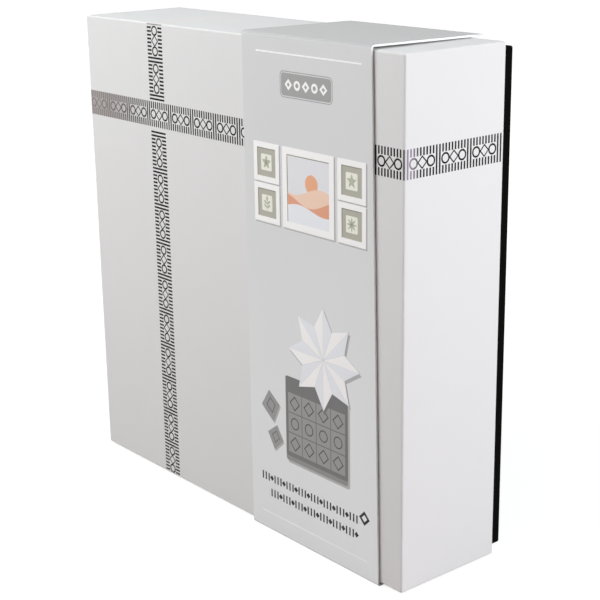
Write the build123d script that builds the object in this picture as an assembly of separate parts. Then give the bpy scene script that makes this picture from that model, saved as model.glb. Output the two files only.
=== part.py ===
from build123d import *
import os

# A boxed keepsake set: a square lift-off box that stands on its edge, a printed card wrap round the lid,
# and inside it a three-panel folding frame with two cast impressions and six small card boxes.
# Millimetres. X runs to the right along the front, Y to the back and Z up. The origin is at the middle of
# the foot of the whole set.

# Lift-off box
face_side = 310.0  # width and height of the lid's face
lid_depth = 76.3  # the lid's front to its rim
base_proud = 10.4  # what shows of the base behind the lid's rim
board = 2.4  # paper-covered greyboard
lid_fit = 1.1  # lid wall to base wall, on each side
lid_seat_gap = 0.4  # base rim to the inside of the lid's face
board_edge_radius = 1.2

# Printed card wrap
wrap_foot_width = 117.7
wrap_top_width = 111.8
wrap_right_margin = 18.0  # at the foot, the wrap's right edge to the lid's right edge
wrap_card = 1.2
wrap_fold_radius = 1.8
wrap_front_gap = 0.5
wrap_foot_gap = 0.8
wrap_top_gap = 1.4  # at the front fold
wrap_top_end_gap = 0.4  # at the flap's end
wrap_back_margin = 3.0  # the wrap's back edges to the back of the base

# Keepsake boxes, three rows of a square one and a long one
keep_rows = 3
keep_depth = 22.4
keep_card = 1.2
keep_fit = 0.3  # lid wall to tray wall
keep_gap = 0.4  # between neighbours and to the base's walls
keep_lid_depth = 13.0
keep_notch_radius = 8.0  # half-round thumb notches in the lid's long walls
keep_edge = 0.5  # bevel on their folded edges

# Folding frame
panel_width = 118.0
panel_height = 170.0
panel_depth = 15.0
moulding_width = 16.0
moulding_radius = 2.0  # outer edges at the front
moulding_bevel = 1.6  # outer edges at the back
sight_radius = 1.2  # the edge round the window
mitre_groove = 0.35  # side of the square bit that cuts the line at each mitre
rabbet_width = 5.0
insert_clearance = 0.5
centre_lip = 4.0  # moulding in front of the pane
wing_lip = 9.0  # moulding in front of the side panels' mats
pane_thickness = 2.0
photo_thickness = 0.6
mat_thickness = 1.5
backboard_thickness = 2.5
tab_width = 8.0
tab_reach = 6.0
tab_bite = 4.0  # how deep a tab is pressed into the moulding
tab_thickness = 0.8
tab_spacing = 70.0

# Cast impressions
plaque_thickness = 7.5
plaque_radius = 6.0
plaque_bevel = 1.0
print_depth = 1.5
hand_plaque_width = 45.0
hand_plaque_height = 66.0
palm_width = 21.0
palm_height = 18.0
palm_radius = 7.5
finger_width = 4.9
finger_length = 18.0
thumb_length = 15.0
foot_plaque_width = 55.0
foot_plaque_height = 78.0
foot_length = 46.0
ball_radius = 11.5
heel_radius = 8.5
toe_radius = 4.4
toe_gap = 1.1
toe_sides = 12

# Butt hinges, two to a joint
hinge_gap = 0.6  # between two open panels
pin_offset = 1.2  # pin axis to the face that the leaves lie on
hinge_height = 19.0
hinge_from_edge = 22.0  # the panel's end to the near end of a hinge
leaf_width = 9.0  # pin axis to the leaf's edge
leaf_thickness = 0.8
leaf_corner = 1.0  # bevel at the leaf's free corners
knuckle_count = 5
knuckle_radius = 1.5
knuckle_gap = 0.2
knuckle_relief = 0.25  # from a knuckle to the other leaf's edge
pin_radius = 0.75
pin_clearance = 0.05
pin_head_radius = 1.2
pin_head_height = 0.7
screw_radius = 0.8
screw_head_radius = 1.6
screw_length = 8.0
screw_clearance = 0.06
screw_slot_width = 0.4
screw_slot_depth = 0.3
screw_spacing_share = 0.5  # of the hinge's height
barrel_sides = 12  # the smallest round parts are many-sided
bore_sides = 10
screw_sides = 8

rest_gap = 0.3  # under a piece that stands on another
overrun = 1.0  # how far a cutting solid runs past the face that it cuts

# Places that follow from the sizes above
set_depth = wrap_card + wrap_front_gap + lid_depth + base_proud
front_y = -set_depth / 2
back_y = set_depth / 2
lid_front_y = front_y + wrap_card + wrap_front_gap
lid_rim_y = lid_front_y + lid_depth
lid_foot_z = wrap_card + wrap_foot_gap
middle_z = lid_foot_z + face_side / 2
base_side = face_side - 2 * (board + lid_fit)
base_inner = base_side - 2 * board
base_front_y = lid_front_y + board + lid_seat_gap
base_floor_y = back_y - board
base_inner_foot_z = middle_z - base_inner / 2
wrap_right_x = face_side / 2 - wrap_right_margin
wrap_top_z = lid_foot_z + face_side + wrap_top_gap + wrap_card
keep_back_y = base_floor_y - rest_gap
keep_front_y = keep_back_y - keep_depth
keep_row_height = (base_inner - (keep_rows + 1) * keep_gap) / keep_rows
keep_long_width = base_inner - 3 * keep_gap - keep_row_height
window_width = panel_width - 2 * moulding_width
window_height = panel_height - 2 * moulding_width
insert_width = window_width + 2 * (rabbet_width - insert_clearance)
insert_height = window_height + 2 * (rabbet_width - insert_clearance)
frame_front_y = (lid_front_y + board + keep_front_y - panel_depth) / 2
frame_middle_z = base_inner_foot_z + rest_gap + panel_height / 2
hinge_x = (panel_width + hinge_gap) / 2
hinge_z = panel_height / 2 - hinge_from_edge - hinge_height / 2

# Where the panels and the hinge parts stand. Each wing is turned half round its pin, on to the middle panel.
half_turn = Rot(0, 0, 180)
at_centre = Pos(0, frame_front_y, frame_middle_z)
at_right_pin = Pos(hinge_x, frame_front_y - pin_offset, frame_middle_z)
at_left_pin = Pos(-hinge_x, frame_front_y + panel_depth + pin_offset, frame_middle_z)
at_right_wing = at_right_pin * half_turn * Pos(hinge_x, pin_offset, 0)
at_left_wing = at_left_pin * half_turn * Pos(-hinge_x, -panel_depth - pin_offset, 0)


def block(x0, x1, y0, y1, z0, z1):
    """A block between two opposite corners."""
    middle = Pos((x0 + x1) / 2, (y0 + y1) / 2, (z0 + z1) / 2)
    return middle * Box(x1 - x0, y1 - y0, z1 - z0)


def centred_block(width, height, y0, y1):
    """A block centred on the Y axis, between two depths."""
    return block(-width / 2, width / 2, y0, y1, -height / 2, height / 2)


def slab(outline, y0, y1):
    """An outline drawn as seen from the front, given its thickness between two depths."""
    return Pos(0, y1, 0) * extrude(Plane.XZ * outline, amount=y1 - y0)


def lid_shell(width, height, y0, y1, wall, soften, size):
    """A box with its closed face at the front, its edges softened, open to the back."""
    outer = centred_block(width, height, y0, y1)
    outer = soften(outer.faces().sort_by(Axis.Y)[0].edges() + outer.edges().filter_by(Axis.Y), size)
    return outer - centred_block(width - 2 * wall, height - 2 * wall, y0 + wall, y1 + overrun)


def tray_shell(width, height, y0, y1, wall, soften, size):
    """A box with its closed face at the back, its edges softened, open to the front."""
    outer = centred_block(width, height, y0, y1)
    outer = soften(outer.faces().sort_by(Axis.Y)[-1].edges() + outer.edges().filter_by(Axis.Y), size)
    return outer - centred_block(width - 2 * wall, height - 2 * wall, y0 - overrun, y1 - wall)


def lid():
    shell = lid_shell(face_side, face_side, lid_front_y, lid_rim_y, board, fillet, board_edge_radius)
    return Pos(0, 0, middle_z) * shell


def base_tray():
    shell = tray_shell(base_side, base_side, base_front_y, back_y, board, fillet, board_edge_radius)
    return Pos(0, 0, middle_z) * shell


def side_slab(outline, x0, x1):
    """An outline drawn in depth and height, given its thickness between two places along X."""
    return Pos(x0, 0, 0) * extrude(Plane.YZ * outline, amount=x1 - x0)


def card_wrap():
    """One strip of card folded over the lid's front, top and foot, a little narrower at the top."""
    wrap_left_x = wrap_right_x - wrap_foot_width
    wrap_back_y = back_y - wrap_back_margin
    end_z = wrap_top_z - wrap_top_gap + wrap_top_end_gap
    inner_y = front_y + wrap_card
    outer_outline = Polygon((front_y, 0), (wrap_back_y, 0), (wrap_back_y, end_z), (front_y, wrap_top_z), align=None)
    inner_outline = Polygon(
        (inner_y, wrap_card),
        (wrap_back_y, wrap_card),
        (wrap_back_y, end_z - wrap_card),
        (inner_y, wrap_top_z - wrap_card),
        align=None,
    )
    outer = side_slab(outer_outline, wrap_left_x, wrap_right_x)
    inner = side_slab(inner_outline, wrap_left_x, wrap_right_x)
    outer = fillet(outer.edges().filter_by(Axis.X).sort_by(Axis.Y)[:2], wrap_fold_radius)
    inner = fillet(inner.edges().filter_by(Axis.X).sort_by(Axis.Y)[:2], wrap_fold_radius - wrap_card)
    face_outline = Polygon(
        (wrap_left_x, 0),
        (wrap_right_x, 0),
        (wrap_left_x + wrap_top_width, wrap_top_z),
        (wrap_left_x, wrap_top_z),
        align=None,
    )
    return (outer - inner) & slab(face_outline, front_y, wrap_back_y)


def keepsake_places():
    """Name, middle in X, middle in Z and outer width of each keepsake box, from the lowest row up."""
    left_x = -base_inner / 2 + keep_gap
    small_x = left_x + keep_row_height / 2
    long_x = left_x + keep_row_height + keep_gap + keep_long_width / 2
    for row in range(keep_rows):
        z = base_inner_foot_z + keep_gap + keep_row_height / 2 + row * (keep_row_height + keep_gap)
        yield f"small_{row + 1}", small_x, z, keep_row_height
        yield f"long_{row + 1}", long_x, z, keep_long_width


def keepsake_lid(width):
    y1 = keep_front_y + keep_lid_depth
    shell = lid_shell(width, keep_row_height, keep_front_y, y1, keep_card, chamfer, keep_edge)
    notch = Pos(0, y1, 0) * Cylinder(keep_notch_radius, keep_row_height + 2 * overrun)
    return shell - notch


def keepsake_tray(width):
    shrink = 2 * (keep_card + keep_fit)
    y0 = keep_front_y + keep_card + keep_fit
    height = keep_row_height - shrink
    return tray_shell(width - shrink, height, y0, keep_back_y, keep_card, chamfer, keep_edge)


def tabs(y0):
    """Four steel tabs at one depth, pressed into the rabbet's two long walls."""
    wall_x = window_width / 2 + rabbet_width
    pieces = []
    for side in (-1, 1):
        for z in (-tab_spacing / 2, tab_spacing / 2):
            length = tab_reach + tab_bite
            x = side * (wall_x + tab_bite - length / 2)
            pieces.append(Pos(x, y0 + tab_thickness / 2, z) * Box(length, tab_thickness, tab_width))
    return pieces


def mitre_lines():
    """Four grooves on the front face, from the window's corners to the panel's corners."""
    reach = 2 * moulding_width
    bit = Rot(0, 45, 0) * Rot(45, 0, 0) * Box(reach, mitre_groove, mitre_groove)
    for x in (-1, 1):
        for z in (-1, 1):
            turned = bit if x * z < 0 else Rot(0, 90, 0) * bit
            middle_x = x * (panel_width - moulding_width) / 2
            yield Pos(middle_x, 0, z * (panel_height - moulding_width) / 2) * turned


def moulding(lip, tab_y):
    """A picture moulding mitred into a frame: rounded outside edges, a window and a rabbet behind its lip."""
    body = centred_block(panel_width, panel_height, 0, panel_depth)
    body = chamfer(body.faces().sort_by(Axis.Y)[-1].edges(), moulding_bevel)
    body = fillet(body.faces().sort_by(Axis.Y)[0].edges(), moulding_radius)
    body -= centred_block(window_width, window_height, -overrun, panel_depth + overrun)
    sight = body.edges().group_by(Axis.Y)[0].filter_by(
        lambda edge: abs(edge.center().X) <= window_width / 2 and abs(edge.center().Z) <= window_height / 2
    )
    body = fillet(sight, sight_radius)
    rabbet_w = window_width + 2 * rabbet_width
    rabbet_h = window_height + 2 * rabbet_width
    body -= centred_block(rabbet_w, rabbet_h, lip, panel_depth + overrun)
    return body - tabs(tab_y) - list(mitre_lines())


def insert(y0, thickness):
    """A flat board, pane or card that lies in the rabbet."""
    return centred_block(insert_width, insert_height, y0, y0 + thickness)


def plaque(width, height, impression):
    """A cast plaque standing on the mat, with an impression pressed into its face."""
    y0 = wing_lip - plaque_thickness
    body = slab(RectangleRounded(width, height, plaque_radius), y0, wing_lip)
    body = chamfer(body.faces().sort_by(Axis.Y)[0].edges(), plaque_bevel)
    return body - slab(impression, y0 - overrun, y0 + print_depth)


def hand_outline():
    """An open hand: a palm, four fanned fingers and a thumb."""
    palm_top_y = 0.0
    palm = Pos(0, palm_top_y - palm_height / 2) * RectangleRounded(palm_width, palm_height, palm_radius)
    finger_place_shares = (-0.38, -0.13, 0.13, 0.38)
    finger_length_shares = (0.80, 0.97, 1.0, 0.88)
    finger_turns = (14, 4, -5, -15)
    outline = palm
    for place_share, length_share, turn in zip(finger_place_shares, finger_length_shares, finger_turns):
        length = finger_length * length_share
        root = Pos(place_share * palm_width, palm_top_y - finger_width / 2) * Rot(0, 0, turn)
        outline += root * Pos(0, length / 2) * SlotOverall(length, finger_width, rotation=90)
    thumb_root = Pos(palm_width / 2 - finger_width / 2, palm_top_y - palm_height / 2) * Rot(0, 0, -52)
    outline += thumb_root * Pos(0, thumb_length / 2) * SlotOverall(thumb_length, finger_width, rotation=90)
    return outline


def foot_outline():
    """A bare foot: a sole from heel to ball, and five toes round the ball."""
    ball_y = foot_length / 2 - ball_radius
    heel_y = heel_radius - foot_length / 2
    ball = Pos(0, ball_y) * Circle(ball_radius)
    heel = Pos(0, heel_y) * Circle(heel_radius)
    outline = make_hull((ball + heel).edges())
    toe_size_shares = (1.0, 0.74, 0.68, 0.62, 0.56)
    toe_turns = (34, -2, -28, -52, -75)
    for size_share, turn in zip(toe_size_shares, toe_turns):
        radius = toe_radius * size_share
        reach = ball_radius + toe_gap + radius
        outline += Pos(0, ball_y) * Rot(0, 0, turn) * Pos(0, reach) * RegularPolygon(radius, toe_sides)
    return outline


def at_hinges(piece):
    """The same piece at the upper and the lower hinge of a joint."""
    return [Pos(0, 0, z) * piece for z in (-hinge_z, hinge_z)]


def screw_places(side):
    """The screws of one leaf, with the local Z axis running into the moulding."""
    inner = knuckle_radius + knuckle_relief
    x = side * (inner + leaf_width) / 2
    face = pin_offset - leaf_thickness
    for z in (-hinge_height * screw_spacing_share / 2, hinge_height * screw_spacing_share / 2):
        yield Pos(x, face, z) * Rot(-90, 0, 0)


def rod(radius, length, sides):
    """A small round bar with its foot on the local XY plane, many-sided."""
    return extrude(RegularPolygon(radius, sides), amount=length)


def centred_rod(radius, length, sides):
    return Pos(0, 0, -length / 2) * rod(radius, length, sides)


def countersink(clearance):
    """The taper under a screw's head, as deep as the leaf is thick, from its open side inwards."""
    wide = RegularPolygon(screw_head_radius + clearance, screw_sides)
    narrow = Pos(0, 0, leaf_thickness) * RegularPolygon(screw_radius + clearance, screw_sides)
    return loft([wide, narrow], ruled=True)


def screw():
    shank = Pos(0, 0, leaf_thickness) * rod(screw_radius, screw_length - leaf_thickness, screw_sides)
    slot = Box(2 * screw_head_radius + overrun, screw_slot_width, 2 * screw_slot_depth)
    return countersink(0) + shank - slot


def hinge_screws(side):
    """The screws of both hinges' leaves on one side of the pin."""
    pieces = [place * screw() for place in screw_places(side)]
    return [copy for piece in pieces for copy in at_hinges(piece)]


def pilot_holes(side):
    length = screw_length + screw_clearance
    hole = rod(screw_radius + screw_clearance, length, screw_sides)
    pieces = [place * hole for place in screw_places(side)]
    return [copy for piece in pieces for copy in at_hinges(piece)]


def hinge_leaf(side, first_knuckle):
    """A leaf with alternate knuckles round a pin on the Z axis. The moulding lies behind it, at +Y."""
    inner = knuckle_radius + knuckle_relief
    pitch = hinge_height / knuckle_count
    plate_middle = side * (inner + leaf_width) / 2
    plate = Pos(plate_middle, 0, 0) * centred_block(
        leaf_width - inner, hinge_height, pin_offset - leaf_thickness, pin_offset
    )
    corners = plate.edges().filter_by(Axis.Y).sort_by(Axis.X)
    leaf = chamfer(corners[:2] if side < 0 else corners[-2:], leaf_corner)
    for knuckle in range(first_knuckle, knuckle_count, 2):
        z = (knuckle + 0.5) * pitch - hinge_height / 2
        length = pitch - knuckle_gap
        link = Pos(side * inner / 2, 0, z) * centred_block(
            inner, length, pin_offset - leaf_thickness, pin_offset
        )
        leaf += link + Pos(0, 0, z) * centred_rod(knuckle_radius, length, barrel_sides)
    leaf -= centred_rod(pin_radius + pin_clearance, hinge_height + 2 * overrun, bore_sides)
    for place in screw_places(side):
        leaf -= place * countersink(screw_clearance)
    return leaf


def hinge_pin():
    """A pin with a flat head at each end, just clear of the end knuckles."""
    head_z = (hinge_height + pin_head_height) / 2
    pin = centred_rod(pin_radius, hinge_height, bore_sides)
    for z in (-head_z, head_z):
        pin += Pos(0, 0, z) * centred_rod(pin_head_radius, pin_head_height, bore_sides)
    return pin


def placed(location, pieces):
    return [location * piece for piece in pieces]


# Sub-parts by name
parts = {"base_tray": base_tray(), "lid": lid(), "card_wrap": card_wrap()}

for name, x, z, width in keepsake_places():
    parts[f"keepsake_tray_{name}"] = Pos(x, 0, z) * keepsake_tray(width)
    parts[f"keepsake_lid_{name}"] = Pos(x, 0, z) * keepsake_lid(width)

centre_photo_y = centre_lip + pane_thickness
centre_backboard_y = centre_photo_y + photo_thickness
centre_tab_y = centre_backboard_y + backboard_thickness
wing_backboard_y = wing_lip + mat_thickness
wing_tab_y = wing_backboard_y + backboard_thickness

fixed_holes = placed(at_right_pin, pilot_holes(-1)) + placed(at_left_pin * half_turn, pilot_holes(-1))
parts["centre_moulding"] = at_centre * moulding(centre_lip, centre_tab_y) - fixed_holes
parts["centre_pane"] = at_centre * insert(centre_lip, pane_thickness)
parts["centre_photo"] = at_centre * insert(centre_photo_y, photo_thickness)
parts["centre_backboard"] = at_centre * insert(centre_backboard_y, backboard_thickness)
parts["centre_tabs"] = placed(at_centre, tabs(centre_tab_y))

wings = (
    ("left", at_left_wing, at_left_pin * half_turn, at_left_pin),
    ("right", at_right_wing, at_right_pin, at_right_pin * half_turn),
)
for name, at_wing, at_fixed, at_moving in wings:
    holes = placed(at_moving, pilot_holes(1))
    parts[f"{name}_moulding"] = at_wing * moulding(wing_lip, wing_tab_y) - holes
    parts[f"{name}_mat"] = at_wing * insert(wing_lip, mat_thickness)
    parts[f"{name}_backboard"] = at_wing * insert(wing_backboard_y, backboard_thickness)
    parts[f"{name}_tabs"] = placed(at_wing, tabs(wing_tab_y))
    parts[f"{name}_hinge_fixed_leaves"] = placed(at_fixed, at_hinges(hinge_leaf(-1, 0)))
    parts[f"{name}_hinge_moving_leaves"] = placed(at_moving, at_hinges(hinge_leaf(1, 1)))
    parts[f"{name}_hinge_pins"] = placed(at_fixed, at_hinges(hinge_pin()))
    parts[f"{name}_fixed_screws"] = placed(at_fixed, hinge_screws(-1))
    parts[f"{name}_moving_screws"] = placed(at_moving, hinge_screws(1))

parts["hand_plaque"] = at_left_wing * plaque(hand_plaque_width, hand_plaque_height, hand_outline())
parts["foot_plaque"] = at_right_wing * plaque(foot_plaque_width, foot_plaque_height, foot_outline())

os.makedirs("parts", exist_ok=True)
for name, part in parts.items():
    solids = Compound(children=part) if isinstance(part, list) else part
    export_step(solids, f"parts/{name}.step")
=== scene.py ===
import math

import bpy
import numpy as np
from mathutils import Matrix, Vector


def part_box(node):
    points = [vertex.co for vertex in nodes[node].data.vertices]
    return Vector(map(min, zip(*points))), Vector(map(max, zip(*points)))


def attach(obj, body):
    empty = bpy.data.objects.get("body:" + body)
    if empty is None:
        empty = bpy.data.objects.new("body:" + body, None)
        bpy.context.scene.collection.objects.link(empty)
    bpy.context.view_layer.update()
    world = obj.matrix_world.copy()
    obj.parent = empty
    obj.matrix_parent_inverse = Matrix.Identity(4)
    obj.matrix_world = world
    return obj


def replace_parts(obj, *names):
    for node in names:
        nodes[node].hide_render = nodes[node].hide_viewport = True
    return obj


# The looks of a boxed keepsake set: a white lift-off box with printed bands, a grey printed card wrap, and
# inside it a folding frame with two cast impressions and six small card boxes.
# Blender's unit is the metre. Sizes of prints and finishes are written in millimetres and scaled by mm.

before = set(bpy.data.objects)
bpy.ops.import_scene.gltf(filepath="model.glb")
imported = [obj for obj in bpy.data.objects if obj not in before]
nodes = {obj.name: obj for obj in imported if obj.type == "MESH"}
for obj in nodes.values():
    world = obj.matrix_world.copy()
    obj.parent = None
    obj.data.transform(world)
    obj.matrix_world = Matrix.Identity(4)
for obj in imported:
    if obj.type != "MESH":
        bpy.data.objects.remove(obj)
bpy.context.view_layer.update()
mm = 0.001

lid_low, lid_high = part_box("lid")
wrap_low, wrap_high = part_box("card_wrap")
base_low, base_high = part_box("base_tray")
panel_low, panel_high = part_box("centre_moulding")
photo_low, photo_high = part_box("centre_photo")

# Board, paper and ink
board = 2.4 * mm  # thickness of the paper-covered board
board_edge_radius = 1.2 * mm
turn_in = 15.0 * mm  # outer paper folded over the rim
highlit_worn_edge = 0.6 * mm  # width of the paler edges of the base's back: wear and a painted highlight
print_height = 0.03 * mm  # an ink layer stands this proud
layer_step = 0.02 * mm  # from one ink layer to the next

# Printed bands on the lid
band_width = 16.4 * mm
band_middle = 7.3 * mm  # the row of motifs between two rows of short bars
bar_pitch = 2.4 * mm
bar_width = 1.25 * mm
bars_in_period = 10
full_bars_in_period = 2
motif_radius = 2.7 * mm
motif_line = 1.1 * mm
motif_places = (2.8, 5.5, 8.2)  # counted in bars from the start of a period
upright_band_x = lid_low.x + 81.0 * mm
level_band_from_foot = 251.4 * mm
level_band_z = lid_low.z + level_band_from_foot
band_fade = 75.0 * mm  # from the lid's left edge, grey ink turns black over this length: a painted reflection of the bands' foil

# Prints on the wrap, in millimetres from its left edge and from the lid's foot: left, foot, right, top
upper_rule_box = (13.0, 301.5, 104.0, 302.4)
lower_rule_box = (9.8, 9.9, 108.2, 10.8)
plate_box = (34.8, 277.2, 80.4, 292.4)
plate_radius = 3.0
plate_line = 0.45  # width of the outline round it
plate_gap = 1.1  # from the outline's outside to the plate
plate_motif_pitch = 7.6
plate_motif_radius = 3.3
tall_frame_box = (35.6, 200.6, 81.2, 248.8)
tall_border = 4.2
small_frame_side = 23.7
small_frame_lefts = (9.0, 84.1)
small_frame_feet = (200.6, 225.1)
small_border = 3.4
frame_shadow = (0.7, -0.9, 0.9, -0.5)  # how far each side of the shadow lies from the frame's
picture_margin = 4.0  # from the tall frame's outside to its picture
printed_sun = (22.0, 25.0, 5.6)  # place from the picture's left lower corner, and radius
panel_box = (35.0, 53.0, 91.8, 108.0)
panel_radius = 1.6
panel_edge = 3.0  # how much of the panel's thickness shows at its foot
panel_shadow = (1.4, -1.6, 1.8, -2.0)
tile_columns, tile_rows = 4, 3
tile_pitch = 13.2
tile_foot_margin = 2.5
kites = ((20.6, 84.6, 9.5, 12), (24.8, 64.6, 8.0, -9))  # middle, reach and turn of each loose tile
star_middle = (70.5, 126.5)
star_radius = 32.0
star_inner_radius = 20.5
star_points = 8
star_shadow_fall = (1.2, -1.6)
star_shadow_fall_on_panel = (0.8, -2.4)
facet_share = 0.98  # a facet's size within its folds
stitch_lines = (("upper", 31, 11.0, 34.8), ("lower", 28, 19.5, 24.8))  # name, bars, left end and height
stitch_end = (106.0, 37.6)

# Impressions, in millimetres from the middle of their plaque, with the outlines of the plaques' solids
palm_width, palm_height, palm_radius = 21.0, 18.0, 7.5
digit_radius = 2.45
fingers = ((-0.38, 14.4, 14), (-0.13, 17.5, 4), (0.13, 18.0, -5), (0.38, 15.8, -15))  # place, length, turn
thumb_length, thumb_turn = 15.0, -52
foot_length, ball_radius, heel_radius = 46.0, 11.5, 8.5
toe_gap = 1.1
toes = ((4.4, 34), (3.26, -2), (2.99, -28), (2.73, -52), (2.46, -75))  # radius, turn
hand_print_depth = 1.35
foot_print_depth = 1.4
slope_foot, slope_top = -2.1, 0.5  # an impression's wall, from inside its outline to outside it
sole_slope_foot = -2.4
lip_height = 0.12  # clay pushed up round an impression
lip_out, lip_width = 1.0, 0.7
plaque_corner_radius = 6.0
plaque_edge_radius = 1.2

# Lamps and camera. The camera is fitted to the lid's edges in the photograph.
lamps_aim = (0.0, 0.0, 0.16)
surround_strength = 0.12
camera_place = (0.68421, -0.5542, 0.40157)
camera_azimuth, camera_elevation, camera_roll = 50.331, 16.774, -0.845  # degrees
camera_lens = 84.936  # millimetres, on a sensor of the width below
sensor_width = 36.0


def tone(red, green, blue):
    """A colour written as it shows on a screen, 0 to 255, as linear light."""
    shares = (red / 255, green / 255, blue / 255)
    return tuple(c / 12.92 if c <= 0.04045 else ((c + 0.055) / 1.055) ** 2.4 for c in shares) + (1.0,)


class Signal:
    """A number in a node tree, which Python's operators extend with Math nodes."""

    def __init__(self, tree, socket):
        self.tree = tree
        self.socket = socket

    def maths(self, operation, *terms):
        made = self.tree.node("ShaderNodeMath", {"operation": operation}, dict(enumerate(terms)))
        return Signal(self.tree, made.outputs[0])

    def __add__(self, other):
        return self.maths("ADD", self, other)

    def __sub__(self, other):
        return self.maths("SUBTRACT", self, other)

    def __rsub__(self, other):
        return self.maths("SUBTRACT", other, self)

    def __mul__(self, other):
        return self.maths("MULTIPLY", self, other)

    def __truediv__(self, other):
        return self.maths("DIVIDE", self, other)

    def __mod__(self, other):
        return self.maths("FLOORED_MODULO", self, other)

    def __lt__(self, other):
        return self.maths("LESS_THAN", self, other)

    def __gt__(self, other):
        return self.maths("GREATER_THAN", self, other)

    def __abs__(self):
        return self.maths("ABSOLUTE", self)

    __radd__ = __add__
    __rmul__ = __mul__

    def sine(self):
        return self.maths("SINE", self)

    def root(self):
        return self.maths("SQRT", self)

    def floor(self):
        return self.maths("FLOOR", self)

    def smallest(self, other):
        return self.maths("MINIMUM", self, other)

    def largest(self, other):
        return self.maths("MAXIMUM", self, other)

    def rise(self, start, end):
        """Zero before start, one past end, and a smooth step between them."""
        made = self.tree.node(
            "ShaderNodeMapRange",
            {"interpolation_type": "SMOOTHSTEP"},
            {"Value": self, "From Min": start, "From Max": end},
        )
        return Signal(self.tree, made.outputs[0])

    def within(self, low, high):
        """One between two values, and zero elsewhere."""
        return (self > low) * (self < high)


class Tree:
    """A node tree, built one node at a time."""

    def __init__(self, tree):
        self.tree = tree

    def node(self, kind, settings=None, inputs=None):
        """A node of one kind, with its settings made first and then its sockets set or linked."""
        made = self.tree.nodes.new(kind)
        for name, value in (settings or {}).items():
            setattr(made, name, value)
        for name, value in (inputs or {}).items():
            self.feed(made.inputs[name], value)
        return made

    def feed(self, socket, value):
        source = getattr(value, "socket", value)
        if isinstance(source, bpy.types.NodeSocket):
            self.tree.links.new(source, socket)
        else:
            socket.default_value = source

    def split(self, vector):
        """The three numbers of a vector."""
        made = self.node("ShaderNodeSeparateXYZ", {}, {0: vector})
        return [Signal(self, socket) for socket in made.outputs]

    def seen_or_mirrored(self):
        """One for rays from the camera, off gloss and through glass, and zero for rays that light things."""
        ray = self.node("ShaderNodeLightPath").outputs
        every = Signal(self, ray["Is Camera Ray"]) + ray["Is Glossy Ray"] + ray["Is Transmission Ray"]
        return every.smallest(1.0)


class Finish(Tree):
    """A procedural material, with its patterns in the object's own coordinates."""

    def __init__(self, name, sockets=None):
        self.material = bpy.data.materials.new(name)
        self.material.use_nodes = True
        super().__init__(self.material.node_tree)
        self.tree.nodes.clear()
        self.shader = self.node("ShaderNodeBsdfPrincipled", {}, sockets)
        self.output = self.node("ShaderNodeOutputMaterial", {}, {"Surface": self.shader.outputs[0]})
        self.place = self.node("ShaderNodeTexCoord").outputs["Object"]
        self.x, self.y, self.z = self.split(self.place)

    def noise(self, size, detail=2.0, stretch=(1, 1, 1)):
        """Cloudy noise about zero, from -0.5 to 0.5, with patches of the given size."""
        scale = tuple(1 / (size * share) for share in stretch)
        place = self.node("ShaderNodeMapping", {}, {"Vector": self.place, "Scale": scale}).outputs[0]
        made = self.node("ShaderNodeTexNoise", {}, {"Vector": place, "Scale": 1.0, "Detail": detail})
        return Signal(self, made.outputs[0]) - 0.5

    def mix(self, share, first, second):
        made = self.node("ShaderNodeMix", {"data_type": "RGBA"}, {0: share, 6: first, 7: second})
        return made.outputs[2]

    def shade(self, colour, factor):
        source = colour[:3] if isinstance(colour, tuple) else colour
        made = self.node("ShaderNodeVectorMath", {"operation": "SCALE"}, {0: source, "Scale": factor})
        return made.outputs[0]

    def colour(self, value):
        self.feed(self.shader.inputs["Base Color"], value)

    def roughness(self, value):
        self.feed(self.shader.inputs["Roughness"], value)

    def coat(self, weight):
        self.feed(self.shader.inputs["Coat Weight"], weight)

    def relief(self, height, depth):
        """A bump as deep as given, in metres, where height runs from 0 to 1."""
        made = self.node("ShaderNodeBump", {}, {"Strength": 1.0, "Distance": depth, "Height": height})
        self.feed(self.shader.inputs["Normal"], made.outputs[0])

    def between_walls(self, low, high, wall):
        """One between the four walls of a box that opens to the back, and zero in them."""
        return self.x.within(low.x + wall, high.x - wall) * self.z.within(low.z + wall, high.z - wall)

    def blend_shaders(self, share, first, second):
        """Gives the surface two shaders, with this share of the second."""
        both = self.node("ShaderNodeMixShader", {}, {0: share, 1: first, 2: second})
        self.feed(self.output.inputs["Surface"], both.outputs[0])


def paper(finish, colour, mottle=0.02):
    """Art paper: fine fibres, faint clouds and a soft sheen."""
    fibres = finish.noise(0.5 * mm, detail=4.0)
    clouds = finish.noise(22 * mm)
    finish.colour(finish.shade(colour, 1 + fibres * mottle + clouds * mottle))
    finish.roughness(0.66 + fibres * 0.16)
    finish.relief(fibres, 0.02 * mm)


def white_lid_paper():
    """White paper over board, with a grey ground under the level band's left end that fades out to the
    right: a painted reflection of the band's foil.
    """
    finish = Finish("white_lid_paper", {"Specular IOR Level": 0.12})
    white = tone(228, 228, 228)
    # painted reflection: the band's foil seen grey at the lid's left end
    painted_foil_reflection = tone(172, 166, 165)
    lining = tone(222, 221, 218)
    on_band = finish.z.within(level_band_z - band_width / 2, level_band_z + band_width / 2)
    fade_start, fade_end = lid_low.x + 0.2 * band_fade, lid_low.x + 1.1 * band_fade
    strength = 1 - finish.x.rise(fade_start, fade_end)
    inside = finish.between_walls(lid_low, lid_high, board / 2) * (finish.y > lid_low.y + board / 2)
    outer = finish.mix(on_band * strength * (1 - inside), white, painted_foil_reflection)
    lined = inside * (finish.y < lid_high.y - turn_in)
    paper(finish, finish.mix(lined, outer, lining))
    return finish.material


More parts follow.
